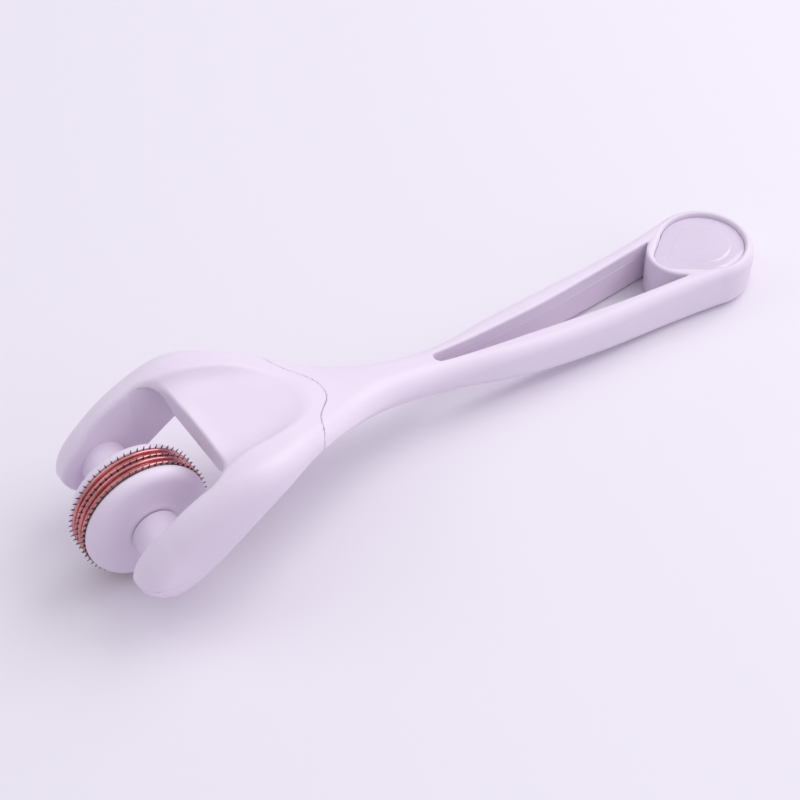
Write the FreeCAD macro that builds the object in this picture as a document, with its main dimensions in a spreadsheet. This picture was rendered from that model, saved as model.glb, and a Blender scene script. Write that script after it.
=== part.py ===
"""Derma roller: a slotted handle, a plug-in fork head and a three-disc needle roller.

Frame: +X towards the tail, +Z up, origin under the middle of the bounding box.
The object lies at rest on its lowest needle tips and on the flat of its tail.
"""
import FreeCAD
import Part

import math
import os

import Sketcher

Vector = FreeCAD.Vector

# Longer than the object: the size of a tool that has to cut right through, mm.
BEYOND = 160.0
# How far a tool starts outside the material it cuts, mm.
MARGIN = 5.0
# Two places closer together than this are the same place, mm.
SAME = 0.01

# ---------------------------------------------------------------- driving dimensions, mm
DIMENSIONS = [
    ("overall_length", 150.0, "needle tips to tail"),
    ("tip_radius", 12.15, "roller axis to needle tip"),
    ("disc_radius", 11.6, "roller axis to needle root"),
    ("needle_count", 60, "needles on each disc"),
    ("needle_root", 0.46, "width of a needle at its root"),
    ("needle_sink", 0.1, "depth of a needle's root inside its disc"),
    ("disc_thickness", 0.3, "sheet thickness of a needle disc"),
    ("disc_pitch", 2.18, "spacing of the discs"),
    ("drum_radius", 9.0, "core that carries discs and spacers"),
    ("drum_clearance", 0.5, "core round the axle pin"),
    ("groove_depth", 0.7, "groove round each spacer"),
    ("groove_width", 0.5, "groove round each spacer"),
    ("dome_radius", 11.5, "side dome"),
    ("dome_face", 5.3, "outer face of a dome, from the middle"),
    ("dome_round", 1.6, "rounding of the dome's outer rim"),
    ("pin_radius", 1.5, "axle pin"),
    ("pin_clearance", 0.05, "running clearance on the pin"),
    ("bush_radius", 2.6, "outside of a bush"),
    ("bush_end", 5.0, "outer end of a bush, from the middle"),
    ("washer_radius", 3.4, "thrust washer"),
    ("washer_start", 5.1, "inner face of a washer, from the middle"),
    ("washer_thickness", 0.4, "thrust washer"),
    ("counterbore_radius", 3.8, "recess in the dome round the washer"),
    ("boss_radius", 4.3, "boss between arm and dome"),
    ("boss_seat", 15.2, "outer end of a boss, inside the arm"),
    ("boss_round", 0.5, "rounding of the boss end"),
    ("pin_end", 16.6, "outer end of the pin, inside the arm"),
    ("arm_gap", 13.65, "inner face of an arm, from the middle"),
    ("mouth_depth", 12.2, "back of the fork opening behind the axle"),
    ("mouth_round", 5.5, "rounding at the back of the fork opening"),
    ("crossbar_under", 20.3, "underside of the crossbar"),
    ("belly_half_width", 11.0, "hollow under the crossbar"),
    ("belly_front", 14.2, "where the hollow's roof starts to fall, behind the axle"),
    ("belly_back", 26.5, "back of the hollow, behind the axle"),
    ("belly_low", 16.0, "roof of the hollow at its back"),
    ("dish_length", 17.0, "half length of the ellipsoid that cuts the thumb dish"),
    ("dish_width", 11.2, "half width of the ellipsoid"),
    ("dish_depth", 3.0, "half height of the ellipsoid"),
    ("dish_middle", 19.85, "dish centre behind the axle"),
    ("dish_height", 27.5, "dish centre above the ground"),
    ("dish_slope", 5.0, "slope of the dish, degrees"),
    ("neck_slope", 21.0, "slope of the neck, degrees"),
    ("joint_gap", 0.15, "clearance between head and handle"),
    ("joint_height", 19.5, "joint axis above the ground at the seam"),
    ("tongue_length", 6.4, "tongue on the head's top"),
    ("tongue_floor", 2.2, "underside of the tongue above the joint axis"),
    ("plug_length", 10.5, "plug on the head"),
    ("plug_root", 4.0, "start of the plug inside the head, ahead of the seam"),
    ("plug_half_width", 3.2, "plug"),
    ("plug_low", -1.9, "plug underside from the joint axis"),
    ("plug_high", 1.3, "plug top from the joint axis"),
    ("socket_clearance", 0.1, "plug in the socket liner"),
    ("socket_wall", 0.7, "socket liner"),
    ("upper_shell_depth", 3.0, "parting surface below the handle's top"),
    ("slot_start", 0.0, "pointed end of the slot"),
    ("slot_end", 55.1, "wide end of the slot"),
    ("slot_start_half", 1.3, "half width of the slot at its pointed end"),
    ("slot_end_half", 6.1, "half width of the slot at its wide end"),
    ("ring_front_radius", 6.8, "convex wall that closes the slot"),
    ("ring_front", 51.5, "foremost point of that wall"),
    ("insert_radius", 8.4, "round end of the insert"),
    ("insert_nose_radius", 3.85, "narrow end of the insert"),
    ("insert_nose", 56.75, "centre of the narrow end"),
    ("insert_thickness", 1.1, "insert"),
    ("insert_recess", 0.8, "insert below the rim"),
    ("insert_edge", 0.5, "rounding of the insert"),
    ("tray_thickness", 1.1, "tray under the insert"),
    ("edge_fraction", 0.5, "rounding of the long edges, as a share of the half height"),
]

# Sections of the outer form: place behind the axle, half width, top and underside.
STATIONS = [
    ("tip_section", -8.7, 15.8, 15.5, 10.6),
    ("brow_section", -4.7, 17.6, 18.9, 7.3),
    ("axle_section", 0.0, 18.5, 22.1, 6.3),
    ("arm_section", 7.1, 19.0, 25.4, 9.5),
    ("crest_section", 14.2, 18.8, 27.2, 13.9),
    ("shoulder_section", 20.9, 17.3, 26.4, 16.6),
    ("flank_section", 26.5, 14.5, 24.8, 17.0),
    ("collar_section", 31.3, 12.1, 22.8, 16.2),
    ("nape_section", 38.9, 8.4, 19.7, 13.2),
    ("throat_section", 47.4, 5.5, 17.4, 10.3),
    ("waist_section", 56.9, 4.4, 14.9, 7.5),
    ("slot_section", 64.5, 4.6, 13.2, 5.7),
    ("fork_section", 72.0, 5.5, 12.1, 4.1),
    ("rail_section", 80.6, 6.5, 11.2, 2.7),
    ("bow_section", 90.0, 7.4, 10.5, 1.7),
    ("middle_section", 99.6, 8.1, 10.05, 0.95),
    ("after_section", 108.0, 8.6, 9.85, 0.5),
    ("tail_section", 115.7, 9.2, 9.8, 0.25),
    ("heel_section", 122.0, 9.8, 9.8, 0.12),
    ("ring_section", 127.45, 10.4, 9.8, 0.0),
]
SECTION_SIZES = ("place", "half_width", "top", "underside")

# Edge of the tongue, as shares of its length and of the collar's half width.
TONGUE_OUTLINE = [(0.0, 1.0), (0.15, 0.67), (0.45, 0.48), (0.75, 0.33), (0.96, 0.13)]

DOC = FreeCAD.newDocument("derma_roller")
SHEET = DOC.addObject("Spreadsheet::Sheet", "dims")


def fill_sheet():
    """Write every driving dimension to its own named cell."""
    rows = list(DIMENSIONS)
    for name, *values in STATIONS:
        for size, value in zip(SECTION_SIZES, values):
            rows.append((f"{name}_{size}", value, "section of the outer form"))
    for number, (alias, value, meaning) in enumerate(rows, start=1):
        SHEET.set(f"A{number}", meaning)
        SHEET.set(f"B{number}", str(value))
        SHEET.setAlias(f"B{number}", alias)
    DOC.recompute()


def size(expression):
    """Value of an expression over the sheet's named cells."""
    return float(SHEET.evalExpression(expression))


def named(alias):
    return float(SHEET.get(alias))


# ---------------------------------------------------------------- sketch and body helpers
def new_body(label):
    body = DOC.addObject("PartDesign::Body", label)
    body.Label = label
    return body


def new_sketch(body, name, role):
    """A sketch on one of the body's own origin planes."""
    plane = [feature for feature in body.Origin.OriginFeatures if feature.Role == role][0]
    sketch = body.newObject("Sketcher::SketchObject", name)
    sketch.AttachmentSupport = [(plane, "")]
    sketch.MapMode = "FlatFace"
    return sketch


def bind(sketch, constraint, expression):
    """Add a dimension and tie it to the sheet."""
    number = sketch.addConstraint(constraint)
    sketch.setExpression(f"Constraints[{number}]", expression)


def add_polygon(sketch, corners):
    """Closed polygon whose corners are pairs of expressions from the sketch origin."""
    points = [Vector(size(across), size(up), 0) for across, up in corners]
    count = len(points)
    for index, point in enumerate(points):
        sketch.addGeometry(Part.LineSegment(point, points[(index + 1) % count]), False)
    for index in range(count):
        sketch.addConstraint(Sketcher.Constraint("Coincident", index, 2, (index + 1) % count, 1))
    for index, (across, up) in enumerate(corners):
        bind(sketch, Sketcher.Constraint("DistanceX", -1, 1, index, 1, size(across)), across)
        bind(sketch, Sketcher.Constraint("DistanceY", -1, 1, index, 1, size(up)), up)


def add_circle(sketch, radius):
    """Circle about the sketch origin."""
    circle = Part.Circle(Vector(0, 0, 0), Vector(0, 0, 1), size(radius))
    index = sketch.addGeometry(circle, False)
    sketch.addConstraint(Sketcher.Constraint("Coincident", index, 3, -1, 1))
    bind(sketch, Sketcher.Constraint("Radius", index, size(radius)), radius)


def symmetric_pad(body, name, profile, length):
    pad = body.newObject("PartDesign::Pad", name)
    pad.Profile = profile
    pad.SideType = "Symmetric"
    pad.setExpression("Length", length)
    return pad


def place_on_axle(body, across="0 mm"):
    body.setExpression("Placement.Base.x", "(dims.tip_radius - dims.overall_length / 2) * 1 mm")
    body.setExpression("Placement.Base.y", across)
    body.setExpression("Placement.Base.z", "dims.tip_radius * 1 mm")


def turned(label, corners):
    """A piece turned about the roller axis, from corners given as (radius, distance along it)."""
    body = new_body(label)
    profile = new_sketch(body, f"{label}_profile", "XY_Plane")
    add_polygon(profile, corners)
    DOC.recompute()
    turn = body.newObject("PartDesign::Revolution", f"{label}_turn")
    turn.Profile = profile
    turn.ReferenceAxis = (profile, ["V_Axis"])
    turn.Angle = 360
    place_on_axle(body)
    DOC.recompute()
    return body, turn


def round_rims(body, base, radius, wanted):
    """Round the circular edges of a turned piece that the test picks."""
    names = []
    for number, edge in enumerate(base.Shape.Edges, start=1):
        if edge.Closed and isinstance(edge.Curve, Part.Circle):
            if wanted(edge.Curve.Radius, edge.Curve.Center.y):
                names.append(f"Edge{number}")
    rounding = body.newObject("PartDesign::Fillet", f"{body.Label}_rounding")
    rounding.Base = (base, names)
    rounding.setExpression("Radius", radius)
    DOC.recompute()


# ---------------------------------------------------------------- roller
SIDES = (("left", 1), ("right", -1))


def make_needle_disc(label, step):
    """Sheet disc with a rim of pointed needles; one needle points straight down."""
    body = new_body(label)
    blank = new_sketch(body, f"{label}_blank", "XZ_Plane")
    add_circle(blank, "dims.disc_radius")
    add_circle(blank, "dims.drum_radius")
    symmetric_pad(body, f"{label}_sheet", blank, "dims.disc_thickness")
    tooth = new_sketch(body, f"{label}_tooth", "XZ_Plane")
    root = "dims.disc_radius - dims.needle_sink"
    corners = [(root, "-dims.needle_root / 2"), ("dims.tip_radius", "0"), (root, "dims.needle_root / 2")]
    add_polygon(tooth, corners)
    needle = symmetric_pad(body, f"{label}_needle", tooth, "dims.disc_thickness")
    DOC.recompute()
    ring = body.newObject("PartDesign::PolarPattern", f"{label}_needles")
    ring.Originals = [needle]
    ring.Axis = (tooth, ["N_Axis"])
    ring.Angle = 360
    ring.setExpression("Occurrences", "dims.needle_count")
    body.Tip = ring
    place_on_axle(body, f"{step} * dims.disc_pitch * 1 mm")
    return body


def make_spacer_ring(label, side):
    """Spacer between two discs, with one groove round it."""
    start = f"{side} * dims.disc_thickness / 2"
    end = f"{side} * (dims.disc_pitch - dims.disc_thickness / 2)"
    near_lip = f"{side} * (dims.disc_pitch - dims.groove_width) / 2"
    far_lip = f"{side} * (dims.disc_pitch + dims.groove_width) / 2"
    floor = "dims.disc_radius - dims.groove_depth"
    corners = [("dims.drum_radius", start), ("dims.disc_radius", start), ("dims.disc_radius", near_lip)]
    corners += [(floor, near_lip), (floor, far_lip), ("dims.disc_radius", far_lip)]
    corners += [("dims.disc_radius", end), ("dims.drum_radius", end)]
    return turned(label, corners)[0]


def make_roller_core():
    """Drum that the discs and spacers sit on."""
    reach = "(dims.disc_pitch + dims.disc_thickness / 2)"
    bore = "dims.pin_radius + dims.drum_clearance"
    corners = [(bore, f"-{reach}"), ("dims.drum_radius", f"-{reach}")]
    corners += [("dims.drum_radius", reach), (bore, reach)]
    return turned("roller_core", corners)[0]


def make_dome(label, side):
    """Thick side disc with a rounded rim, bored for a bush and recessed for a washer."""
    start = f"{side} * (dims.disc_pitch + dims.disc_thickness / 2)"
    face = f"{side} * dims.dome_face"
    ledge = f"{side} * dims.bush_end"
    corners = [("dims.bush_radius", start), ("dims.dome_radius", start), ("dims.dome_radius", face)]
    corners += [("dims.counterbore_radius", face), ("dims.counterbore_radius", ledge)]
    corners += [("dims.bush_radius", ledge)]
    body, turn = turned(label, corners)
    rim = size("dims.dome_radius")
    outer = abs(size("dims.dome_face"))

    def outer_rim(radius, across):
        return radius > rim - SAME and abs(across) > outer - SAME

    round_rims(body, turn, "dims.dome_round", outer_rim)
    return body


def make_bush(label, side):
    """Sleeve in a dome that runs on the pin."""
    bore = "dims.pin_radius + dims.pin_clearance"
    start = f"{side} * (dims.disc_pitch + dims.disc_thickness / 2)"
    end = f"{side} * dims.bush_end"
    corners = [(bore, start), ("dims.bush_radius", start), ("dims.bush_radius", end), (bore, end)]
    return turned(label, corners)[0]


# ---------------------------------------------------------------- axle and its bosses
def make_axle_pin():
    pin = DOC.addObject("Part::Cylinder", "axle_pin")
    pin.Label = "axle_pin"
    pin.setExpression("Radius", "dims.pin_radius")
    pin.setExpression("Height", "2 * dims.pin_end")
    pin.setExpression("Placement.Base.x", "(dims.tip_radius - dims.overall_length / 2) * 1 mm")
    pin.setExpression("Placement.Base.y", "dims.pin_end * 1 mm")
    pin.setExpression("Placement.Base.z", "dims.tip_radius * 1 mm")
    pin.Placement.Rotation = FreeCAD.Rotation(Vector(1, 0, 0), 90)
    return pin


def make_thrust_washer(label, side):
    """Washer between a boss and the roller, fixed on the pin."""
    start = f"{side} * dims.washer_start"
    end = f"{side} * (dims.washer_start + dims.washer_thickness)"
    corners = [("dims.pin_radius", start), ("dims.washer_radius", start)]
    corners += [("dims.washer_radius", end), ("dims.pin_radius", end)]
    return turned(label, corners)[0]


def make_boss(label, side):
    """Round boss seated in the arm, which carries the pin."""
    start = f"{side} * (dims.washer_start + dims.washer_thickness)"
    end = f"{side} * dims.boss_seat"
    corners = [("dims.pin_radius", start), ("dims.boss_radius", start)]
    corners += [("dims.boss_radius", end), ("dims.pin_radius", end)]
    body, turn = turned(label, corners)
    rim = size("dims.boss_radius")
    seat = size("dims.boss_seat")

    def inner_rim(radius, across):
        return radius > rim - SAME and abs(across) < seat - SAME

    round_rims(body, turn, "dims.boss_round", inner_rim)
    return body


# ---------------------------------------------------------------- outer form
def axle_place():
    return size("dims.tip_radius - dims.overall_length / 2")


def section_wire(name):
    """Rounded rectangle across the object at one station."""
    place = axle_place() + named(f"{name}_place")
    half = named(f"{name}_half_width")
    top = named(f"{name}_top")
    low = named(f"{name}_underside")
    bend = named("edge_fraction") * min(half, (top - low) / 2)
    slack = bend * (1 - math.sqrt(0.5))

    def at(y, z):
        return Vector(place, y, z)

    edges = [
        Part.makeLine(at(bend - half, low), at(half - bend, low)),
        arc(at(half - bend, low), at(half - slack, low + slack), at(half, low + bend)),
        Part.makeLine(at(half, low + bend), at(half, top - bend)),
        arc(at(half, top - bend), at(half - slack, top - slack), at(half - bend, top)),
        Part.makeLine(at(half - bend, top), at(bend - half, top)),
        arc(at(bend - half, top), at(slack - half, top - slack), at(-half, top - bend)),
        Part.makeLine(at(-half, top - bend), at(-half, low + bend)),
        arc(at(-half, low + bend), at(slack - half, low + slack), at(bend - half, low)),
    ]
    return Part.Wire(edges)


def arc(start, middle, end):
    return Part.Arc(start, middle, end).toShape()


def tail_ring():
    """Round tail with the same edge rounding as the rails."""
    height = named("ring_section_top")
    bend = named("edge_fraction") * height / 2
    ring = Part.makeCylinder(named("ring_section_half_width"), height, Vector(ring_middle(), 0, 0))
    rims = [edge for edge in ring.Edges if isinstance(edge.Curve, Part.Circle)]
    return ring.makeFillet(bend, rims)


def ring_middle():
    return axle_place() + named("ring_section_place")


def outer_form():
    """Smooth body through all the stations, closed by the round tail."""
    body = Part.makeLoft([section_wire(name) for name, *_ in STATIONS], True, False)
    return body.fuse(tail_ring())


# ---------------------------------------------------------------- joint between head and handle
def in_joint(shape):
    """Place a shape drawn with X along the joint axis, towards the tail, and Z across it."""
    start = Vector(axle_place() + named("collar_section_place"), 0, named("joint_height"))
    turn = FreeCAD.Rotation(Vector(0, 1, 0), named("neck_slope"))
    shape.Placement = FreeCAD.Placement(start, turn)
    return shape


def joint_box(low, high):
    """Box between two corners in the joint's own directions."""
    sides = [high[axis] - low[axis] for axis in range(3)]
    return in_joint(Part.makeBox(*sides, Vector(*low)))


def tongue_prism(gap):
    """Bell-shaped prism over the seam; gap widens it for the pocket in the handle."""
    length = named("tongue_length") + gap
    half = named("collar_section_half_width") + gap
    floor = named("tongue_floor") - gap
    left = [Vector(share * length, part * half, floor) for share, part in TONGUE_OUTLINE]
    right = [Vector(point.x, -point.y, floor) for point in reversed(left)]
    curve = Part.BSplineCurve()
    curve.interpolate(left + [Vector(length, 0, floor)] + right)
    back = Part.makeLine(right[-1], Vector(-MARGIN, right[-1].y, floor))
    front = Part.makeLine(back.Vertexes[1].Point, Vector(-MARGIN, left[0].y, floor))
    close = Part.makeLine(front.Vertexes[1].Point, left[0])
    wire = Part.Wire([curve.toShape(), back, front, close])
    return in_joint(Part.Face(wire).extrude(Vector(0, 0, BEYOND)))


def plug_box():
    half = named("plug_half_width")
    low = (-named("plug_root"), -half, named("plug_low"))
    return joint_box(low, (named("plug_length"), half, named("plug_high")))


def socket_box(wall, start, end):
    """Box round the plug, wider by the clearance and the given wall."""
    grow = named("socket_clearance") + wall
    half = named("plug_half_width") + grow
    low = (start, -half, named("plug_low") - grow)
    return joint_box(low, (end, half, named("plug_high") + grow))


# ---------------------------------------------------------------- handle
def prism(points, depth, direction):
    """Polygon extruded along one axis."""
    return Part.Face(Part.makePolygon(points + [points[0]])).extrude(direction * depth)


def egg_wire(height):
    """Outline of the insert: two arcs joined by their outer tangents."""
    big = named("insert_radius")
    small = named("insert_nose_radius")
    middle = ring_middle()
    nose = named("insert_nose")
    lean = (big - small) / (middle - nose)
    rise = math.sqrt(1 - lean * lean)

    def at(centre, radius, side):
        return Vector(centre - radius * lean, side * radius * rise, height)

    round_end = arc(at(middle, big, 1), Vector(middle + big, 0, height), at(middle, big, -1))
    narrow_end = arc(at(nose, small, -1), Vector(nose - small, 0, height), at(nose, small, 1))
    lower_flank = Part.makeLine(at(middle, big, -1), at(nose, small, -1))
    upper_flank = Part.makeLine(at(nose, small, 1), at(middle, big, 1))
    return Part.Wire([round_end, lower_flank, narrow_end, upper_flank])


def egg_solid(low, high):
    return Part.Face(egg_wire(low)).extrude(Vector(0, 0, high - low))


def slot_solid():
    """Tapered slot, closed at its wide end by the convex wall of the ring."""
    start = named("slot_start")
    end = named("slot_end")
    narrow = named("slot_start_half")
    wide = named("slot_end_half")
    run = [Vector(start, -narrow, -MARGIN), Vector(end, -wide, -MARGIN)]
    run += [Vector(end, wide, -MARGIN), Vector(start, narrow, -MARGIN)]
    taper = prism(run, BEYOND, Vector(0, 0, 1))
    apex = Part.makeCylinder(narrow, BEYOND, Vector(start, 0, -MARGIN))
    radius = named("ring_front_radius")
    wall = Part.makeCylinder(radius, BEYOND, Vector(named("ring_front") + radius, 0, -MARGIN))
    return taper.fuse(apex).cut(wall)


def above_parting():
    """Everything over the surface where the two shells meet."""
    points = []
    for name, *_ in STATIONS:
        height = named(f"{name}_top") - named("upper_shell_depth")
        points.append(Vector(axle_place() + named(f"{name}_place"), -BEYOND, height))
    curve = Part.BSplineCurve()
    curve.interpolate(points)
    end = Vector(size("dims.overall_length / 2") + MARGIN, -BEYOND, points[-1].z)
    rim = [points[-1], end, Vector(end.x, -BEYOND, BEYOND)]
    rim += [Vector(points[0].x, -BEYOND, BEYOND), points[0]]
    lines = [Part.makeLine(start, stop) for start, stop in zip(rim, rim[1:])]
    return Part.Face(Part.Wire([curve.toShape()] + lines)).extrude(Vector(0, 2 * BEYOND, 0))


def handle_form(outer):
    """The handle before it is parted: slot, tongue pocket, plug passage and insert pocket."""
    gap = named("joint_gap")
    handle = outer.cut(joint_box((-BEYOND, -BEYOND, -BEYOND), (gap, BEYOND, BEYOND)))
    handle = handle.cut(tongue_prism(gap))
    end = named("plug_length") + named("socket_wall")
    handle = handle.cut(socket_box(named("socket_wall"), -MARGIN, end + gap))
    handle = handle.cut(slot_solid())
    top = named("ring_section_top")
    return handle.cut(egg_solid(top - named("upper_shell_depth"), top + MARGIN))


def make_socket_liner():
    """Blind sleeve that the plug slides into."""
    length = named("plug_length")
    gap = named("joint_gap")
    outside = socket_box(named("socket_wall"), 2 * gap, length + named("socket_wall") + gap)
    return outside.cut(socket_box(0, -MARGIN, length + gap))


def make_insert():
    top = named("ring_section_top") - named("insert_recess")
    body = egg_solid(top - named("insert_thickness"), top)
    rim = [edge for edge in body.Edges if edge.BoundBox.ZMin > top - SAME]
    return body.makeFillet(named("insert_edge"), rim)


def make_tray():
    """Plate between the insert and the lower shell."""
    low = named("ring_section_top") - named("upper_shell_depth")
    return egg_solid(low, low + named("tray_thickness"))


# ---------------------------------------------------------------- fork head
def mouth_solid():
    """Opening between the arms, with rounded back corners."""
    back = axle_place() + named("mouth_depth")
    half = named("arm_gap")
    block = Part.makeBox(BEYOND, 2 * half, BEYOND, Vector(back - BEYOND, -half, -MARGIN))
    corners = []
    for edge in block.Edges:
        if edge.BoundBox.ZLength > BEYOND - SAME and edge.BoundBox.XMin > back - SAME:
            corners.append(edge)
    return block.makeFillet(named("mouth_round"), corners)


def belly_solid():
    """Hollow under the crossbar, between the arms."""
    half = named("belly_half_width")
    front = axle_place() - BEYOND
    roof = axle_place() + named("belly_front")
    back = axle_place() + named("belly_back")
    high = named("crossbar_under")
    run = [Vector(front, -half, -MARGIN), Vector(front, -half, high), Vector(roof, -half, high)]
    run += [Vector(back, -half, named("belly_low")), Vector(back, -half, -MARGIN)]
    return prism(run, 2 * half, Vector(0, 1, 0))


def dish_solid():
    """Ellipsoid that hollows the thumb rest."""
    stretch = FreeCAD.Matrix()
    stretch.scale(named("dish_length"), named("dish_width"), named("dish_depth"))
    ball = Part.makeSphere(1).transformGeometry(stretch)
    middle = Vector(axle_place() + named("dish_middle"), 0, named("dish_height"))
    ball.Placement = FreeCAD.Placement(middle, FreeCAD.Rotation(Vector(0, 1, 0), named("dish_slope")))
    return ball


def axle_seat():
    """Space for the pin and the two bosses in the arms."""
    place = axle_place()
    height = named("tip_radius")
    sideways = Vector(0, 1, 0)
    reach = named("pin_end")
    seat = named("boss_seat")
    pin = Part.makeCylinder(named("pin_radius"), 2 * reach, Vector(place, -reach, height), sideways)
    bosses = Part.makeCylinder(named("boss_radius"), 2 * seat, Vector(place, -seat, height), sideways)
    return pin.fuse(bosses)


def head_form(outer):
    """The whole fork head before the arm tips are parted."""
    behind = joint_box((0, -BEYOND, -BEYOND), (BEYOND, BEYOND, BEYOND)).cut(tongue_prism(0))
    head = outer.cut(behind).cut(mouth_solid()).cut(belly_solid()).cut(dish_solid())
    head = head.fuse(plug_box())
    return head.cut(axle_seat())


# ---------------------------------------------------------------- document
def add_feature(label, shape):
    """Document object for a piece shaped with Part's own functions."""
    feature = DOC.addObject("Part::Feature", label)
    feature.Label = label
    feature.Shape = shape
    return feature


def build():
    fill_sheet()
    pieces = []
    for label, step in (("left", 1), ("middle", 0), ("right", -1)):
        pieces.append(make_needle_disc(f"needle_disc_{label}", step))
    for label, side in SIDES:
        pieces.append(make_spacer_ring(f"spacer_ring_{label}", side))
        pieces.append(make_dome(f"roller_dome_{label}", side))
        pieces.append(make_bush(f"roller_bush_{label}", side))
        pieces.append(make_thrust_washer(f"thrust_washer_{label}", side))
        pieces.append(make_boss(f"axle_boss_{label}", side))
    pieces.append(make_roller_core())
    pieces.append(make_axle_pin())

    outer = outer_form()
    handle = handle_form(outer)
    upper = above_parting()
    pieces.append(add_feature("handle_upper_shell", handle.common(upper)))
    pieces.append(add_feature("handle_lower_shell", handle.cut(upper)))
    pieces.append(add_feature("socket_liner", make_socket_liner()))
    pieces.append(add_feature("tail_insert", make_insert()))
    pieces.append(add_feature("insert_tray", make_tray()))

    head = head_form(outer)
    height = named("tip_radius")
    below = Part.makeBox(2 * BEYOND, 2 * BEYOND, height + MARGIN, Vector(-BEYOND, -BEYOND, -MARGIN))
    pieces.append(add_feature("fork_head", head.cut(below)))
    for cap in head.common(below).Solids:
        label = "left" if cap.CenterOfMass.y > 0 else "right"
        pieces.append(add_feature(f"tip_cap_{label}", cap))
    DOC.recompute()
    return pieces


def check(pieces):
    """Stop on any failed object or bad shape before a file is written."""
    for item in DOC.Objects:
        if "Invalid" in item.State or "Error" in item.State:
            raise RuntimeError(f"{item.Label} failed: {item.State}")
    for piece in pieces:
        if piece.Shape.isNull() or not piece.Shape.isValid():
            raise RuntimeError(f"{piece.Label} has no valid shape")
        print(f"{piece.Label}: {len(piece.Shape.Solids)} solid, {piece.Shape.Volume:.1f} mm3")


def export(pieces):
    os.makedirs("parts", exist_ok=True)
    for piece in pieces:
        piece.Shape.exportStep(os.path.join("parts", f"{piece.Label}.step"))


PIECES = build()
check(PIECES)
export(PIECES)
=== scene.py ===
"""Derma roller: moulded shells, needle roller, floor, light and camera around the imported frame."""

import math

import bmesh
import bpy
import numpy as np
from mathutils import Matrix, Vector


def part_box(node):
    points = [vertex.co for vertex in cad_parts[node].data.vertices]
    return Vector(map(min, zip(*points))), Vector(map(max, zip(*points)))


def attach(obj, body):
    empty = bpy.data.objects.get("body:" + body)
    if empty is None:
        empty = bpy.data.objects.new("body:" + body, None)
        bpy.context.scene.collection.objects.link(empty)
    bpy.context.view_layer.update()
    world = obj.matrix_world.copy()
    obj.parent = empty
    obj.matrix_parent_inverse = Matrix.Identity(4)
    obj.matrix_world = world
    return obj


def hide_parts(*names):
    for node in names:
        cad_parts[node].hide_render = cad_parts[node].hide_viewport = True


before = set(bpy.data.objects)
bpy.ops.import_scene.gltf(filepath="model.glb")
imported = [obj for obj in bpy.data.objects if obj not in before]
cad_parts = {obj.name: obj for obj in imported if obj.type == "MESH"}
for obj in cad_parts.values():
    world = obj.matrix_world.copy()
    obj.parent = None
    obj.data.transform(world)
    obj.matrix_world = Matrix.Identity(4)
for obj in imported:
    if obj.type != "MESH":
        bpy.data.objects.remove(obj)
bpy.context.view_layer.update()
MM = 0.001

# ---------------------------------------------------------------- driving sizes, mm
# Places are counted from the axle towards the tail, heights from the ground.
AXLE_X = (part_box("axle_pin")[0][0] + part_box("axle_pin")[1][0]) / 2 / MM
AXLE_Z = (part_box("axle_pin")[0][2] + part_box("axle_pin")[1][2]) / 2 / MM
# Spacing of the grid that finds a moulded piece's surface, and its two corners for each piece.
CELL = 0.35
HEAD_GRID = ((-10, -20, 3), (44, 20, 30))
HANDLE_GRID = ((27, -14.2, -1), (139.5, 14.2, 25))

# Outer form: place, half width, top and underside.
SECTIONS = [
    (-8.7, 18.4, 17.5, 6.75),
    (-4.7, 18.4, 18.8, 6.4),
    (0.0, 18.65, 21.95, 6.6),
    (7.1, 19.0, 25.45, 9.75),
    (14.2, 18.85, 27.2, 14.15),
    (20.9, 17.3, 26.4, 16.8),
    (26.5, 14.55, 24.75, 17.15),
    (31.3, 12.2, 22.75, 16.25),
    (38.9, 8.45, 19.65, 13.25),
    (47.4, 5.45, 17.35, 10.35),
    (56.9, 4.3, 14.9, 7.55),
    (64.5, 4.5, 13.25, 5.8),
    (72.0, 5.45, 12.15, 4.2),
    (80.6, 6.5, 11.3, 2.75),
    (90.0, 7.4, 10.5, 1.7),
    (99.6, 8.05, 10.05, 0.9),
    (108.0, 8.4, 9.85, 0.4),
    (116.0, 9.0, 9.8, 0.15),
    (122.0, 9.7, 9.8, 0.1),
    (127.45, 10.4, 9.8, 0.0),
    (140.0, 12.0, 9.8, 0.0),
]
# Roundings of its long edges: place, on top, below.
ROUNDS = [
    (-8.7, 3.9, 4.0),
    (3.0, 4.3, 6.0),
    (12.0, 4.3, 6.4),
    (20.9, 3.3, 6.4),
    (31.3, 2.9, 5.0),
    (43.0, 3.65, 4.1),
    (56.9, 3.5, 3.6),
    (66.0, 3.3, 3.4),
    (76.0, 2.6, 2.8),
    (95.0, 2.6, 2.3),
    (127.45, 1.9, 2.2),
    (140.0, 1.9, 2.2),
]
# Share of the height where the lower rounding passes into the upper one; least height taken for it.
ROUND_BLEND = (0.2, 0.8)
LEAST_HEIGHT = 4
# Front of the arms, with its upper and its lower rounding.
TIP_FRONT = -8.2
TIP_ROUNDS = (6.0, 7.0)
# Round tail, and the length over which the rails run into it.
RING_X = 127.45
RING_RADIUS = 10.4
RING_RUN = 5

# Opening between the arms. A triple here is a size, where it starts and where it is full.
ARM_GAP = 13.3
MOUTH_BACK = 12.2
MOUTH_ROUND = 5.5
MOUTH_LEAN = 0.1
MOUTH_EDGE = 0.5
MOUTH_EDGE_MORE = (0.5, 9, 13)
TIP_THICKER = (0.8, 0, 7)
# Hollow under the crossbar.
CROSSBAR_UNDER = 21.1
ROOF_RISE = (4.0, 7.5, 13)
ROOF_FALL = (4.6, 15, 27)
HOLLOW_TAPER = (6, 14.5, 27)
HOLLOW_MIDDLE = 17
HOLLOW_REACH = 10
HOLLOW_EDGE = 0.5

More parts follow.
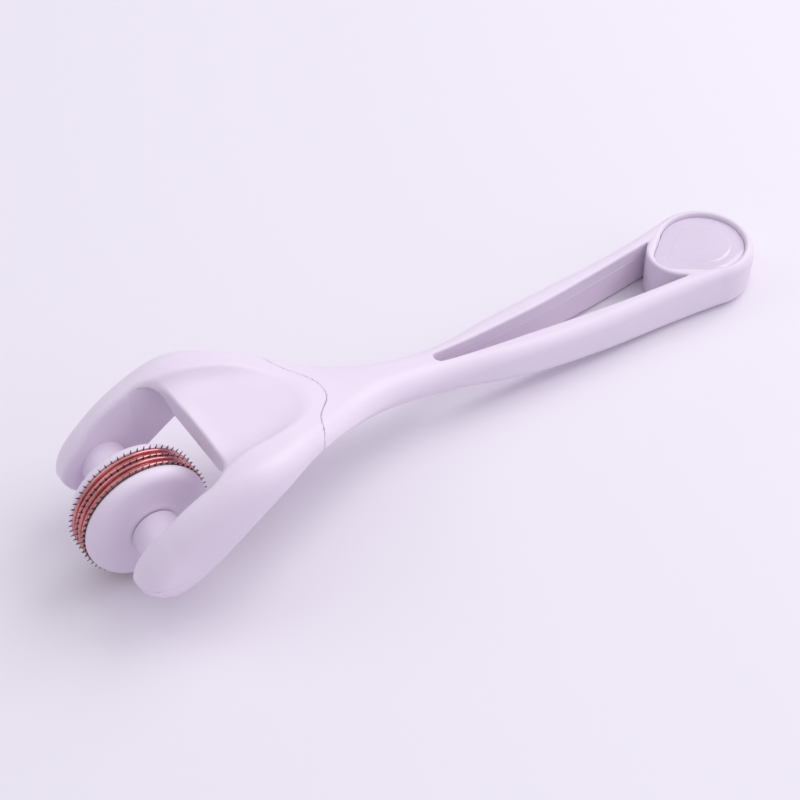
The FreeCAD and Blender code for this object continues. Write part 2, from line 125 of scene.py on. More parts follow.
# Thumb dish: half width and depth by place, then the oval that closes it at the back.
DISH_HALF = [(8.0, 13.6), (12.0, 12.5), (17.0, 11.35), (22.0, 10.9), (28.0, 10.6), (35.0, 10.5)]
DISH_DEPTH = [(11.0, 2.2), (14.0, 2.6), (18.0, 2.9), (22.0, 2.7), (28.0, 2.0), (35.0, 1.2)]
DISH_BACK = (16.0, 17.3)
# Fullness of its bowl, how far the bowl is followed outwards, steepness and rounding of its rim.
DISH_POWER = 5
DISH_PAST = 1.5
DISH_STEEP = 1.15
DISH_EDGE = 0.45
# Raised lip in front of it: place, height and reach, then the half widths where it fades.
LIP = (12.3, 0.95, 2.0)
LIP_FADE = (2, 10.5)

# Seam between head and handle, square to the neck, and the roundings along it.
SEAM_PLACE = 29.6
SEAM_HEIGHT = 19.5
NECK_SLOPE = math.radians(21.0)
SEAM_GAP = 0.02
SEAM_EDGE = 0.16
# Tongue over the seam: length by half width, then its underside above the neck's axis.
TONGUE = [
    (0.0, 7.1), (1.5, 6.85), (2.9, 6.2), (4.2, 5.1), (5.65, 3.6), (7.1, 2.2),
    (8.85, 1.1), (10.7, 0.55), (12.3, 0.15), (14.5, 0.0),
]
TONGUE_FLOOR = 2.8
TONGUE_STEP = 0.8
# Plug on the head: start, end, half width, underside and top, in the neck's directions.
PLUG_PLACE = 31.3
PLUG = (-4.0, 10.5, 3.2, -1.9, 1.3)
PLUG_EDGE = 0.3
PASSAGE_WALL = 0.35
PASSAGE_EDGE = 0.2

# Slot: half width by place, closed by the convex wall of the ring.
SLOT_START = 62.85
SLOT_HALF = [(62.85, 1.2), (72.0, 1.8), (81.5, 2.5), (91.0, 3.35), (101.0, 4.4), (111.0, 5.4), (122.0, 6.5)]
# Steepness of its sides, roundings of its corners and of its edges.
SLOT_STEEP = 1.005
SLOT_CORNER = 0.4
SLOT_EDGE = 0.55
# Convex wall: place and radius of its circle, and how far the slot is followed past it.
RING_WALL = (121.6, 6.8)
RING_WALL_PAST = 2
# Insert: places and radii of its narrow and its round end, then its seat in the ring.
EGG = (119.8, 3.85, 127.45, 8.4)
INSERT_TOP = 8.75
INSERT_THICKNESS = 1.1
SEAT_PLAY = 0.03
SEAT_RAISE = 0.2
SEAT_EDGE = 0.75
# Parting lines of the mould: depth below the handle's top, thickness, gaps at the slot's two ends.
UPPER_DEPTH = 3.0
SLOT_LINE = 0.055
SLOT_LINE_GAPS = (1, 3.4)
# Round the tips: thickness, height, start behind the front, length of the bend, and the straight part.
TIP_LINE = 0.065
TIP_LINE_HEIGHT = 12.15
TIP_LINE_START = 0.08
TIP_LINE_BEND = 2.4
TIP_LINE_SIDE = (-6.1, 9.6)
# Half widths between which an arm's outside is looked for, and the number of halvings.
TIP_SEARCH = (15.3, 20)
HALVINGS = 24

# Roller, as distances from its axis and from its middle.
DRUM_RADIUS = 9.02
DOME_RADIUS = 11.35
DOME_START = 2.34
DOME_FACE = 4.9
DOME_ROUND = 2.0
COPPER_RADIUS = 11.62
COPPER_GROOVE = 0.3
COPPER_BAND = (0.15, 2.03)
DISC_RADIUS = 11.26
DISC_HALF = 0.15
DISC_PITCH = 2.18
NEEDLES = 60
NEEDLE_SHAPE = ((11.2, 0.115), (11.7, 0.095), (12.0, 0.06), (12.14, 0.015))
NEEDLE_FLATNESS = 0.8
PIN_RADIUS = 1.55
HUB_START = 5.52
HUB_END = 14.4


# ---------------------------------------------------------------- smooth curves
def smooth_curve(points):
    """Natural cubic spline through (place, value) pairs, as a function of place."""
    knots = np.array([place for place, _ in points])
    values = np.array([value for _, value in points])
    count = len(knots)
    gaps = np.diff(knots)
    system = np.eye(count)
    right = np.zeros(count)
    for row in range(1, count - 1):
        system[row, row - 1:row + 2] = gaps[row - 1], 2 * (gaps[row - 1] + gaps[row]), gaps[row]
        rise_after = (values[row + 1] - values[row]) / gaps[row]
        rise_before = (values[row] - values[row - 1]) / gaps[row - 1]
        right[row] = 6 * (rise_after - rise_before)
    bends = np.linalg.solve(system, right)

    def evaluate(place):
        place = np.clip(place, knots[0], knots[-1])
        left = np.clip(np.searchsorted(knots, place) - 1, 0, count - 2)
        gap = gaps[left]
        before = (knots[left + 1] - place) / gap
        after = 1 - before
        cubic = ((before**3 - before) * bends[left] + (after**3 - after) * bends[left + 1]) * gap**2 / 6
        return before * values[left] + after * values[left + 1] + cubic

    return evaluate


half_width = smooth_curve([(row[0], row[1]) for row in SECTIONS])
crown = smooth_curve([(row[0], row[2]) for row in SECTIONS])
underside = smooth_curve([(row[0], row[3]) for row in SECTIONS])
top_round = smooth_curve([(row[0], row[1]) for row in ROUNDS])
low_round = smooth_curve([(row[0], row[2]) for row in ROUNDS])
tongue_edge = smooth_curve(TONGUE)
dish_half = smooth_curve(DISH_HALF)
dish_depth = smooth_curve(DISH_DEPTH)
slot_half = smooth_curve(SLOT_HALF)


def slope_of(curve, place):
    """Steepness of a curve, from a short step to each side."""
    step = 0.05
    return (curve(place + step) - curve(place - step)) / (2 * step)


def ramp(value, low, high):
    """0 below low, 1 above high, smooth between."""
    share = np.clip((value - low) / (high - low), 0, 1)
    return share * share * (3 - 2 * share)


def eased(value, size, start, full):
    """A size that comes in smoothly between two places."""
    return size * ramp(value, start, full)


def meet(first, second, radius):
    """Where two solids overlap, with the edge between them rounded."""
    both = np.maximum(first, second)
    beyond = np.hypot(np.maximum(first + radius, 0), np.maximum(second + radius, 0))
    return np.minimum(both, -radius) + beyond


# ---------------------------------------------------------------- signed distances, mm
def outer_plan(x, y):
    """Distance to the outline seen from above; x is behind the axle, y is not negative."""
    edge = half_width(x)
    strip = (y - edge) / np.hypot(1, slope_of(half_width, x))
    ring = np.hypot(x - RING_X, y) - RING_RADIUS
    share = ramp(x, RING_X - RING_RUN, RING_X)
    return strip * (1 - share) + ring * share


def outer_side(x, z):
    """Distance to the outline seen from the side; the front ends of the arms are round."""
    above = (z - crown(x)) / np.hypot(1, slope_of(crown, x))
    below = (underside(x) - z) / np.hypot(1, slope_of(underside, x))
    front = TIP_FRONT - x
    return np.maximum(meet(above, front, TIP_ROUNDS[0]), meet(below, front, TIP_ROUNDS[1]))


def outer_form(x, y, z):
    """The smooth body that head and handle share; its edges are rounder below than on top."""
    height = np.maximum(crown(x) - underside(x), LEAST_HEIGHT)
    share = np.clip((z - underside(x)) / height, 0, 1)
    edge = low_round(x) + (top_round(x) - low_round(x)) * ramp(share, *ROUND_BLEND)
    return meet(outer_plan(x, y), outer_side(x, z), edge)


def mouth(x, y):
    """Plan distance into the opening between the arms."""
    along = x - (MOUTH_BACK - MOUTH_ROUND)
    across = y - (ARM_GAP - MOUTH_ROUND)
    outside = np.hypot(np.maximum(along, 0), np.maximum(across, 0))
    return outside + np.minimum(np.maximum(along, across), 0) - MOUTH_ROUND


def in_neck(x, z, place):
    """Distances along the neck and across it, from a place behind the axle."""
    along = (x - place) * math.cos(NECK_SLOPE) - (z - SEAM_HEIGHT) * math.sin(NECK_SLOPE)
    up = (x - place) * math.sin(NECK_SLOPE) + (z - SEAM_HEIGHT) * math.cos(NECK_SLOPE)
    return along, up


def plug(x, y, z, wall):
    """Distance to the head's plug, made larger by a wall."""
    start, end, half, low, high = PLUG
    along, up = in_neck(x, z, PLUG_PLACE)
    section = meet(y - half - wall, np.maximum(low - wall - up, up - high - wall), PLUG_EDGE)
    return meet(section, np.maximum(start - along, along - end - wall), PLUG_EDGE)


def seam(x, y, z):
    """Distance behind the seam between head and handle, with its bell-shaped tongue."""
    along, up = in_neck(x, z, SEAM_PLACE)
    raised = ramp(up, TONGUE_FLOOR - TONGUE_STEP, TONGUE_FLOOR)
    return (along - tongue_edge(y) * raised) / np.hypot(1, slope_of(tongue_edge, y) * raised)


def dish_floor(x, y):
    """Height of the thumb dish, closed by an oval at the back and a raised lip in front."""
    share = np.hypot(np.maximum(x - DISH_BACK[0], 0) / DISH_BACK[1], y / dish_half(x))
    bowl = dish_depth(x) * (1 - np.minimum(share, DISH_PAST)**DISH_POWER)
    place, height, reach = LIP
    lip = height * np.exp(-((x - place) / reach)**2) * (1 - ramp(y, *LIP_FADE))
    return crown(x) - bowl + lip


def head_solid(x, y, z):
    """Fork head: arms, crossbar and thumb dish, up to the seam."""
    y = np.abs(y)
    body = outer_form(x, y, z)
    dish = (z - dish_floor(x, y)) / DISH_STEEP
    body = meet(body, dish, DISH_EDGE)
    opening = mouth(x - MOUTH_LEAN * (z - CROSSBAR_UNDER), y + eased(-x, *TIP_THICKER))
    body = meet(body, -opening, MOUTH_EDGE + eased(y, *MOUTH_EDGE_MORE))
    roof = CROSSBAR_UNDER + eased(y, *ROOF_RISE) - eased(x, *ROOF_FALL)
    hollow = np.maximum(y - (ARM_GAP - eased(x, *HOLLOW_TAPER)), z - roof)
    hollow = np.maximum(hollow, np.abs(x - HOLLOW_MIDDLE) - HOLLOW_REACH)
    body = meet(body, -hollow, HOLLOW_EDGE)
    body = meet(body, seam(x, y, z) + SEAM_GAP / 2, SEAM_EDGE)
    return np.minimum(body, plug(x, y, z, 0))


def slot(x, y):
    """Plan distance into the tapered slot, whose wide end is the convex wall of the ring."""
    flank = (y - slot_half(x)) / SLOT_STEEP
    apex = np.hypot(x - SLOT_START, y) - SLOT_HALF[0][1]
    taper = np.where(x < SLOT_START, apex, flank)
    wall = RING_WALL[1] - np.hypot(x - RING_WALL[0], y)
    taper = np.maximum(taper, x - (RING_WALL[0] + RING_WALL_PAST))
    return meet(taper, wall, SLOT_CORNER)


def egg(x, y):
    """Plan distance to the outline of the insert: two circles and their outer tangents."""
    nose, small, middle, big = EGG
    span = middle - nose
    lean = (big - small) / span
    rise = math.sqrt(1 - lean * lean)
    along = middle - x
    key = along * rise - y * lean
    round_end = np.hypot(along, y) - big
    nose_end = np.hypot(along - span, y) - small
    flank = along * lean + y * rise - big
    return np.where(key < 0, round_end, np.where(key > span * rise, nose_end, flank))


def handle_solid(x, y, z):
    """Whole handle behind the seam, with its slot and the seat of the insert."""
    y = np.abs(y)
    body = outer_form(x, y, z)
    body = meet(body, -slot(x, y), SLOT_EDGE)
    seat = np.maximum(egg(x, y) - SEAT_PLAY, (crown(x) - UPPER_DEPTH + SEAT_RAISE) - z)
    body = meet(body, -seat, SEAT_EDGE)
    body = meet(body, -plug(x, y, z, PASSAGE_WALL), PASSAGE_EDGE)
    return meet(body, -(seam(x, y, z) - SEAM_GAP / 2), SEAM_EDGE)


# ---------------------------------------------------------------- from distances to meshes
# Rounds of moving points onto the surface, step that measures its slope in mm, least slope taken.
PULLS = 4
NUDGE = 0.02
LEAST_STEEP = 0.2


def surface_net(solid, low, high, cell):
    """Quads over the zero surface of a signed distance, pulled onto it, with true normals."""
    axes = [np.arange(low[axis], high[axis] + cell, cell) for axis in range(3)]
    values = solid(axes[0][:, None, None], axes[1][None, :, None], axes[2][None, None, :])
    inside = values < 0
    corners = np.zeros([length - 1 for length in values.shape], int)
    for step in np.ndindex(2, 2, 2):
        corners += inside[tuple(slice(s, s + size) for s, size in zip(step, corners.shape))]
    active = (corners > 0) & (corners < 8)
    cells = np.argwhere(active)
    index = np.full(active.shape, -1)
    index[active] = np.arange(len(cells))
    total = np.zeros((len(cells), 3))
    hits = np.zeros(len(cells))
    for axis in range(3):
        others = [other for other in range(3) if other != axis]
        for step in np.ndindex(2, 2):
            start = cells.copy()
            start[:, others] += step
            stop = start.copy()
            stop[:, axis] += 1
            here = values[tuple(start.T)]
            there = values[tuple(stop.T)]
            crossed = (here < 0) != (there < 0)
            share = np.where(crossed, here / np.where(crossed, here - there, 1), 0)
            point = start.astype(float)
            point[:, axis] += share
            total[crossed] += point[crossed]
            hits[crossed] += 1
    points = total / hits[:, None] * cell + np.array([axis[0] for axis in axes])
    quads = []
    for axis in range(3):
        first, second = [other for other in range(3) if other != axis]
        size = list(values.shape)
        size[axis] -= 1
        here = inside[tuple(slice(0, length) for length in size)]
        shift = [slice(0, length) for length in size]
        shift[axis] = slice(1, values.shape[axis])
        edges = np.argwhere(here != inside[tuple(shift)])
        whole = np.all([edges[:, other] > 0 for other in (first, second)], axis=0)
        whole &= np.all([edges[:, other] < values.shape[other] - 1 for other in (first, second)], axis=0)
        edges = edges[whole]
        ring = []
        for back_first, back_second in ((1, 1), (0, 1), (0, 0), (1, 0)):
            around = edges.copy()
            around[:, first] -= back_first
            around[:, second] -= back_second
            ring.append(index[tuple(around.T)])
        ring = np.stack(ring, axis=1)
        flip = here[tuple(edges.T)] == (axis == 1)
        ring[flip] = ring[flip][:, ::-1]
        quads.append(ring)
    quads = np.concatenate(quads)
    for _ in range(PULLS):
        height, normal = slope_at(solid, points)
        points -= np.clip(height, -cell, cell)[:, None] * normal
    return points, quads, slope_at(solid, points)[1]


def slope_at(solid, points):
    """Distance to the surface divided by its steepness, and the outward direction."""
    height = solid(*points.T)
    slope = np.zeros_like(points)
    for axis in range(3):
        ahead = points.copy()
        behind = points.copy()
        ahead[:, axis] += NUDGE
        behind[:, axis] -= NUDGE
        slope[:, axis] = (solid(*ahead.T) - solid(*behind.T)) / (2 * NUDGE)
    steep = np.maximum(np.linalg.norm(slope, axis=1), LEAST_STEEP)
    return height / steep, slope / steep[:, None]


def from_points(name, points, faces, normals=None):
    """Mesh object from points in millimetres, behind the axle, and quads."""
    mesh = bpy.data.meshes.new(name)
    world = (np.asarray(points) + [AXLE_X, 0, 0]) * MM
    mesh.from_pydata(world.tolist(), [], faces)
    mesh.update()
    mesh.shade_smooth()
    if normals is not None:
        mesh.normals_split_custom_set_from_vertices(np.asarray(normals).tolist())
    piece = bpy.data.objects.new(name, mesh)
    bpy.context.scene.collection.objects.link(piece)
    return piece


def strips(rows, around, joined=False):
    """Quads between neighbouring loops of points; joined ties the last loop to the first."""
    faces = []
    for row in range(rows if joined else rows - 1):
        following = (row + 1) % rows
        for step in range(around):
            turn = (step + 1) % around
            this_loop = (row * around + step, row * around + turn)
            next_loop = (following * around + turn, following * around + step)
            faces.append(this_loop + next_loop)
    return faces


def moulded(name, solid, low, high, material, body, slot_name, *nodes):
    """A moulded piece from its signed distance, in place of CAD nodes."""
    points, quads, normals = surface_net(solid, low, high, CELL)
    piece = from_points(name, points, quads.tolist(), normals)
    piece.data.materials.append(material)
    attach(piece, body)
    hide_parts(*nodes)
    return piece


# ---------------------------------------------------------------- materials
def new_material(name, colour, roughness, metallic=0.0):
    """Principled material with the plain facts on its own sockets."""
    material = bpy.data.materials.new(name)
    material.use_nodes = True
    tree = material.node_tree
    shader = tree.nodes["Principled BSDF"]
    shader.inputs["Base Color"].default_value = (*colour, 1)
    shader.inputs["Roughness"].default_value = roughness
    shader.inputs["Metallic"].default_value = metallic
    return material, shader, tree


def noise(tree, scale, detail=3.0, stretch=(1, 1, 1)):
    """Noise in the object's own metres, so that it rides with the piece."""
    place = tree.nodes.new("ShaderNodeTexCoord")
    mapping = tree.nodes.new("ShaderNodeMapping")
    mapping.inputs["Scale"].default_value = stretch
    pattern = tree.nodes.new("ShaderNodeTexNoise")
    pattern.inputs["Scale"].default_value = scale
    pattern.inputs["Detail"].default_value = detail
    tree.links.new(place.outputs["Object"], mapping.inputs["Vector"])
    tree.links.new(mapping.outputs["Vector"], pattern.inputs["Vector"])
    return pattern.outputs["Fac"]


# Range in which nearly all of a noise texture's values lie.
NOISE_SPAN = (0.3, 0.7)


def graded(tree, factor, stops):
    """Colour ramp over a factor."""
    ramp_node = tree.nodes.new("ShaderNodeValToRGB")
    elements = ramp_node.color_ramp.elements
    while len(elements) < len(stops):
        elements.new(0.5)
    for element, (place, colour) in zip(elements, stops):
        element.position = place
        element.color = (*colour, 1)
    tree.links.new(factor, ramp_node.inputs["Fac"])
    return ramp_node.outputs["Color"]


def varied(tree, factor, low, high):
    """A noise factor spread over low to high."""
    spread = tree.nodes.new("ShaderNodeMapRange")
    spread.inputs["From Min"].default_value = NOISE_SPAN[0]
    spread.inputs["From Max"].default_value = NOISE_SPAN[1]
    spread.inputs["To Min"].default_value = low
    spread.inputs["To Max"].default_value = high
    tree.links.new(factor, spread.inputs["Value"])
    return spread.outputs["Result"]


def bumped(tree, shader, factor, height, strength=1.0):
    """Fine relief of the given height, in metres, on top of the piece's own shape."""
    bump = tree.nodes.new("ShaderNodeBump")
    bump.inputs["Strength"].default_value = strength
    bump.inputs["Distance"].default_value = height
    tree.links.new(factor, bump.inputs["Height"])
    tree.links.new(bump.outputs["Normal"], shader.inputs["Normal"])


def plastic(name, colour, roughness=0.42, depth=0.000006):
    """Moulded plastic: slightly cloudy colour and fine spark-eroded grain."""
    material, shader, tree = new_material(name, colour, roughness)
    cloud = noise(tree, 60.0, 2.0)
    light = [min(1.0, part * 1.012) for part in colour]
    dark = [part * 0.985 for part in colour]
    tree.links.new(graded(tree, cloud, [(0.35, dark), (0.65, light)]), shader.inputs["Base Color"])
    grain = noise(tree, 5200.0, 4.0)
    tree.links.new(varied(tree, grain, roughness - 0.05, roughness + 0.06), shader.inputs["Roughness"])
    bumped(tree, shader, grain, depth)
    shader.inputs["Subsurface Weight"].default_value = 0.06
    shader.inputs["Subsurface Radius"].default_value = (0.0012, 0.0009, 0.0013)
    return material


def copper():
    """Polished copper with fine turning lines round the axle."""
    material, shader, tree = new_material("copper", (0.61, 0.25, 0.255), 0.3, 1.0)
    lines = noise(tree, 900.0, 3.0, (0.02, 1, 0.02))
    tarnish = noise(tree, 260.0, 3.0)
    shades = graded(tree, tarnish, [(0.3, (0.52, 0.19, 0.20)), (0.7, (0.70, 0.31, 0.31))])
    tree.links.new(shades, shader.inputs["Base Color"])
    tree.links.new(varied(tree, lines, 0.18, 0.32), shader.inputs["Roughness"])
    bumped(tree, shader, lines, 0.00001, 0.5)
    return material


def steel(name, colour, roughness):
    """Ground steel with slight differences in its polish."""
    material, shader, tree = new_material(name, colour, roughness, 1.0)
    brushed = noise(tree, 1500.0, 3.0)
    tree.links.new(varied(tree, brushed, roughness - 0.06, roughness + 0.08), shader.inputs["Roughness"])
    bumped(tree, shader, brushed, 0.000004, 0.5)
    return material


def insert_plastic():
    """Cast, milky insert under a glossy surface."""
    material, shader, tree = new_material("insert_resin", (0.73, 0.64, 0.77), 0.12)
    cloud = noise(tree, 90.0, 3.0)
    shades = graded(tree, cloud, [(0.3, (0.71, 0.62, 0.755)), (0.7, (0.75, 0.66, 0.795))])
    tree.links.new(shades, shader.inputs["Base Color"])
    tree.links.new(varied(tree, noise(tree, 700.0), 0.08, 0.16), shader.inputs["Roughness"])
    shader.inputs["Coat Weight"].default_value = 0.35
    shader.inputs["Coat Roughness"].default_value = 0.05
    shader.inputs["Subsurface Weight"].default_value = 0.3
    shader.inputs["Subsurface Radius"].default_value = (0.003, 0.0025, 0.0032)
    return material


LILAC = plastic("lilac_plastic", (0.80, 0.70, 0.83))
INNER = plastic("inner_plastic", (0.60, 0.55, 0.63), 0.5)
TRAY = plastic("tray_plastic", (0.66, 0.57, 0.69), 0.5)
BUSH = plastic("bush_plastic", (0.78, 0.77, 0.76), 0.45)
COPPER = copper()
NEEDLE = steel("needle_steel", (0.17, 0.15, 0.15), 0.30)
PIN = steel("pin_steel", (0.55, 0.55, 0.56), 0.25)
RESIN = insert_plastic()


# ---------------------------------------------------------------- pieces
# Materials of the CAD nodes that are shown as they are.
NODE_MATERIALS = {
    "axle_pin": PIN,
    "thrust_washer_left": BUSH,
    "thrust_washer_right": BUSH,
    "roller_core": INNER,
    "roller_bush_left": BUSH,
    "roller_bush_right": BUSH,
    "socket_liner": INNER,
    "insert_tray": TRAY,
}
# Edges that turn by more than this stay sharp, on turned pieces and on the insert.
SHARP_TURN = math.radians(50)
SHARP_INSERT = math.radians(40)


def turned(name, profile, material, body, slot_name, *nodes, steps=144):
    """A piece spun about the axle from (radius, across) points in mm, in place of CAD nodes."""
    turns = np.arange(steps) * 2 * math.pi / steps
    rings = []
    for radius, across in profile:
        ring = [radius * np.cos(turns), np.full(steps, across), AXLE_Z + radius * np.sin(turns)]
        rings.append(np.stack(ring, axis=1))
    piece = from_points(name, np.concatenate(rings), strips(len(profile), steps, joined=True))
    mesh = bmesh.new()
    mesh.from_mesh(piece.data)
    bmesh.ops.recalc_face_normals(mesh, faces=mesh.faces)
    mesh.to_mesh(piece.data)
    mesh.free()
    piece.data.materials.append(material)
    piece.data.set_sharp_from_angle(angle=SHARP_TURN)
    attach(piece, body)
    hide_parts(*nodes)
    return piece


def arc(centre_radius, centre_across, size, start, stop, steps=8):
    """Points of a rounded corner, angles in degrees from outward towards +across."""
    points = []
    for step in range(steps + 1):
        angle = math.radians(start + (stop - start) * step / steps)
        points.append((centre_radius + size * math.cos(angle), centre_across + size * math.sin(angle)))
    return points


def dome_profile():
    """Thick side disc of the roller: rounded rim, shallow face, low collar round the hub."""
    inner = [(3.0, DOME_START), (DOME_RADIUS - 0.15, DOME_START), (DOME_RADIUS - 0.02, DOME_START + 0.11)]
    rim = arc(DOME_RADIUS - DOME_ROUND, DOME_FACE - DOME_ROUND - 0.12, DOME_ROUND, 0, 84, 12)
    face = [(8.6, -0.02), (7.2, -0.02), (6.2, 0.03), (5.5, 0.14), (5.0, 0.33), (4.7, 0.47), (4.4, 0.52)]
    face += [(3.8, 0.52), (3.55, 0.4), (3.5, -0.8), (3.0, -0.8)]
    return inner + rim + [(radius, DOME_FACE + height) for radius, height in face]


def hub_profile():
    """Round boss between the roller and the arm."""
    inner = [(PIN_RADIUS, HUB_START), (3.6, HUB_START)] + arc(3.85, 5.97, 0.45, -90, 0, 6)
    return inner + [(4.32, 9.0), (4.4, 13.1), (4.4, HUB_END), (PIN_RADIUS, HUB_END)]


def spacer_profile(inner, outer):
    """Copper spacer with a groove between two rounded bands."""
    middle = (inner + outer) / 2
    radius = COPPER_RADIUS
    groove = COPPER_GROOVE
    return [
        (DRUM_RADIUS, inner + 0.01), (radius - 0.1, inner + 0.01), (radius, inner + 0.11),
        (radius, middle - groove - 0.08), (radius - 0.08, middle - groove),
        (radius - 0.55, middle - groove + 0.12), (radius - 0.6, middle),
        (radius - 0.55, middle + groove - 0.12),
        (radius - 0.08, middle + groove), (radius, middle + groove + 0.08),
        (radius, outer - 0.11), (radius - 0.1, outer - 0.01), (DRUM_RADIUS, outer - 0.01),
    ]


def needle_disc(name, across, node):
    """Thin steel disc with a ring of tapered needles, in place of a CAD disc."""
    half = DISC_HALF
    bevel = 0.06
    side = [(DRUM_RADIUS, half), (DISC_RADIUS - bevel, half), (DISC_RADIUS, half - bevel)]
    disc = [(radius, across - offset) for radius, offset in side]
    disc += [(radius, across + offset) for radius, offset in reversed(side)]
    piece = turned(name, disc, NEEDLE, "roller", "needle_steel", node)
    mesh = bmesh.new()
    mesh.from_mesh(piece.data)
    for number in range(NEEDLES):
        turn = 2 * math.pi * number / NEEDLES
        rings = []
        for radius, width in NEEDLE_SHAPE:
            ring = []
            for side_turn, side_across in ((-1, -1), (1, -1), (1, 1), (-1, 1)):
                angle = turn + side_turn * width / radius
                along = AXLE_X + radius * math.cos(angle)
                up = AXLE_Z + radius * math.sin(angle)
                place = (along, across + side_across * width * NEEDLE_FLATNESS, up)
                ring.append(mesh.verts.new([part * MM for part in place]))
            rings.append(ring)
        for low, high in zip(rings, rings[1:]):
            for side in range(4):
                turn_side = (side + 1) % 4
                mesh.faces.new((low[side], low[turn_side], high[turn_side], high[side]))
        mesh.faces.new(rings[-1])
    bmesh.ops.recalc_face_normals(mesh, faces=mesh.faces)
    mesh.to_mesh(piece.data)
    mesh.free()


def mirrored(profile):
    """The same profile on the other side of the roller's middle."""
    return [(radius, -across) for radius, across in reversed(profile)]


moulded("fork_head_shell", head_solid, *HEAD_GRID, LILAC, "head", "lilac_plastic",
        "fork_head", "tip_cap_left", "tip_cap_right")
moulded("handle_shell", handle_solid, *HANDLE_GRID, LILAC, "handle", "lilac_plastic",
        "handle_upper_shell", "handle_lower_shell")
turned("dome_left", dome_profile(), LILAC, "roller", "lilac_plastic", "roller_dome_left")
turned("dome_right", mirrored(dome_profile()), LILAC, "roller", "lilac_plastic", "roller_dome_right")
turned("hub_left", hub_profile(), LILAC, "head", "lilac_plastic", "axle_boss_left")
turned("hub_right", mirrored(hub_profile()), LILAC, "head", "lilac_plastic", "axle_boss_right")
needle_disc("needles_left", DISC_PITCH, "needle_disc_left")
needle_disc("needles_middle", 0.0, "needle_disc_middle")
needle_disc("needles_right", -DISC_PITCH, "needle_disc_right")
copper_band = spacer_profile(*COPPER_BAND)
turned("copper_left", copper_band, COPPER, "roller", "copper_metal", "spacer_ring_left")
turned("copper_right", mirrored(copper_band), COPPER, "roller", "copper_metal", "spacer_ring_right")


def flash_line(name, path, body, width):
    """Fine raised parting line of the mould along a path in mm, behind the axle."""
    path = np.asarray(path)
    along = np.gradient(path, axis=0)
    along /= np.linalg.norm(along, axis=1)[:, None]
    side = np.cross(along, (0, 0, 1))
    side /= np.linalg.norm(side, axis=1)[:, None]
    up = np.cross(side, along)
    count = 6
    points = []
    for turn in np.arange(count) * 2 * math.pi / count:
        points.append(path + width * (math.cos(turn) * side + math.sin(turn) * up))
    points = np.stack(points, axis=1).reshape(-1, 3)
    piece = from_points(name, points, strips(len(path), count))
    piece.data.materials.append(LILAC)
    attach(piece, body)


def edge_at(solid, x, z, low, high):
    """Half width of a solid at a place and a height, by halving between inside and outside."""
    for _ in range(HALVINGS):
        middle = (low + high) / 2
        inside = solid(np.array(x), np.array(middle), np.array(z)) < 0
        low, high = (middle, high) if inside else (low, middle)
    return low


def parting_lines():
    """The mould's parting lines on the slot's inner walls and round the tips of the arms."""
    places = np.linspace(SLOT_START + SLOT_LINE_GAPS[0], RING_WALL[0] - SLOT_LINE_GAPS[1], 60)
    front = TIP_FRONT + TIP_LINE_START + TIP_LINE_BEND * np.linspace(0, 1, 12)**2
    tip_places = np.concatenate([front, np.linspace(*TIP_LINE_SIDE, 40)])
    for side, label in ((1, "left"), (-1, "right")):
        wall = np.stack([places, side * slot_half(places), crown(places) - UPPER_DEPTH], axis=1)
        flash_line(f"slot_line_{label}", wall, "handle", SLOT_LINE)
        tip = []
        for place in tip_places:
            across = edge_at(head_solid, place, TIP_LINE_HEIGHT, *TIP_SEARCH)
            tip.append((place, side * across, TIP_LINE_HEIGHT))
        flash_line(f"tip_line_{label}", tip, "head", TIP_LINE)


def insert_piece():
    """Egg-shaped insert: bevelled edge, flat rim and low raised face, in place of the CAD insert."""
    nose, small, middle, big = EGG
    lean = math.acos((big - small) / (middle - nose))
    outline = []
    for angle in np.linspace(-(math.pi - lean), math.pi - lean, 73):
        outline.append((middle, big, angle))
    for angle in np.linspace(math.pi - lean, math.pi + lean, 25)[1:-1]:
        outline.append((nose, small, angle))
    top = INSERT_TOP
    # How far in from the outline, and at what height.
    rows = [(0.0, top - INSERT_THICKNESS), (0.0, top - 0.1), (0.05, top - 0.03), (0.15, top), (2.5, top)]
    rows += [(2.75, top + 0.02), (3.0, top + 0.06), (3.25, top + 0.09), (3.6, top + 0.1)]
    points = []
    for inset, height in rows:
        for centre, size, angle in outline:
            reach = size - inset
            points.append((centre + reach * math.cos(angle), reach * math.sin(angle), height))
    count = len(outline)
    faces = strips(len(rows), count)
    faces.append(tuple(range((len(rows) - 1) * count, len(rows) * count)))
    faces.append(tuple(reversed(range(count))))
    piece = from_points("insert_plate", points, faces)
    piece.data.materials.append(RESIN)
    piece.data.set_sharp_from_angle(angle=SHARP_INSERT)
    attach(piece, "handle")
    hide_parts("tail_insert")


insert_piece()
parting_lines()
for node, material in NODE_MATERIALS.items():
    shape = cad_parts[node]
    shape.data.materials.clear()
    shape.data.materials.append(material)


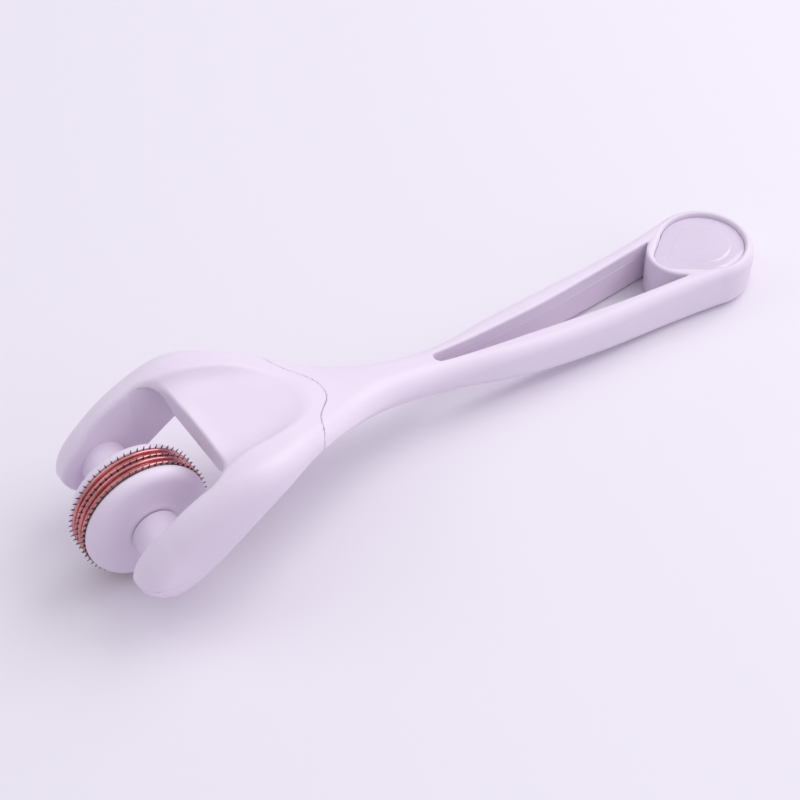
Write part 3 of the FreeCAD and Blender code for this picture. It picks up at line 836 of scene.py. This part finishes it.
# ---------------------------------------------------------------- floor, light, camera
# Metres, watts and degrees. Lights: name, place, size, power, colour; all point at the origin.
FLOOR_HALF = 3.0
LIGHTS = [
    ("key_right", (0.70, -0.05, 0.70), 0.9, 5.2, (1.0, 0.98, 0.97)),
    ("overhead", (0.0, 0.1, 1.05), 0.8, 1.05, (1.0, 1.0, 1.0)),
    ("fill_right", (0.5, -0.75, 0.5), 0.7, 0.9, (1.0, 0.99, 1.0)),
    ("left_behind", (-0.55, 0.55, 0.75), 0.7, 1.1, (0.98, 0.98, 1.0)),
]
WORLD_COLOUR = (0.94, 0.94, 1.03, 1)
WORLD_STRENGTH = 0.58
CAMERA_PLACE = (-0.13005, -0.18348, 0.23298)
CAMERA_AZIMUTH = 33.42
CAMERA_ELEVATION = 45.78
CAMERA_ROLL = -1.1
CAMERA_LENS = 76.6


def floor():
    """Plain, nearly white paper under the object."""
    mesh = bpy.data.meshes.new("floor")
    half = FLOOR_HALF
    corners = [(-half, -half, 0), (half, -half, 0), (half, half, 0), (-half, half, 0)]
    mesh.from_pydata(corners, [], [(0, 1, 2, 3)])
    plane = bpy.data.objects.new("floor", mesh)
    bpy.context.scene.collection.objects.link(plane)
    material, _, _ = new_material("floor_paper", (0.83, 0.79, 0.86), 0.7)
    mesh.materials.append(material)


def area_light(name, place, size, power, colour):
    """Round soft light that points at the origin."""
    light = bpy.data.lights.new(name, "AREA")
    light.shape = "DISK"
    light.size = size
    light.energy = power
    light.color = colour
    lamp = bpy.data.objects.new(name, light)
    lamp.location = place
    lamp.rotation_euler = (-Vector(place)).to_track_quat("-Z", "Y").to_euler()
    bpy.context.scene.collection.objects.link(lamp)


def camera():
    """Camera from the near left, looking down at the object."""
    azimuth = math.radians(CAMERA_AZIMUTH)
    elevation = math.radians(CAMERA_ELEVATION)
    roll = math.radians(CAMERA_ROLL)
    level = math.cos(elevation)
    look = Vector((math.sin(azimuth) * level, math.cos(azimuth) * level, -math.sin(elevation)))
    data = bpy.data.cameras.new("camera")
    data.sensor_width = 36
    data.lens = CAMERA_LENS
    data.clip_start = 0.01
    data.clip_end = 20
    eye = bpy.data.objects.new("camera", data)
    turn = look.to_track_quat("-Z", "Y").to_matrix() @ Matrix.Rotation(roll, 3, "Z")
    eye.matrix_world = Matrix.Translation(CAMERA_PLACE) @ turn.to_4x4()
    bpy.context.scene.collection.objects.link(eye)
    bpy.context.scene.camera = eye


def light():
    """Even sky and the area lights."""
    world = bpy.data.worlds.new("studio")
    world.use_nodes = True
    sky = world.node_tree.nodes["Background"]
    sky.inputs["Color"].default_value = WORLD_COLOUR
    sky.inputs["Strength"].default_value = WORLD_STRENGTH
    bpy.context.scene.world = world
    for lamp in LIGHTS:
        area_light(*lamp)


bpy.context.scene.view_settings.view_transform = "Standard"
floor()
light()
camera()
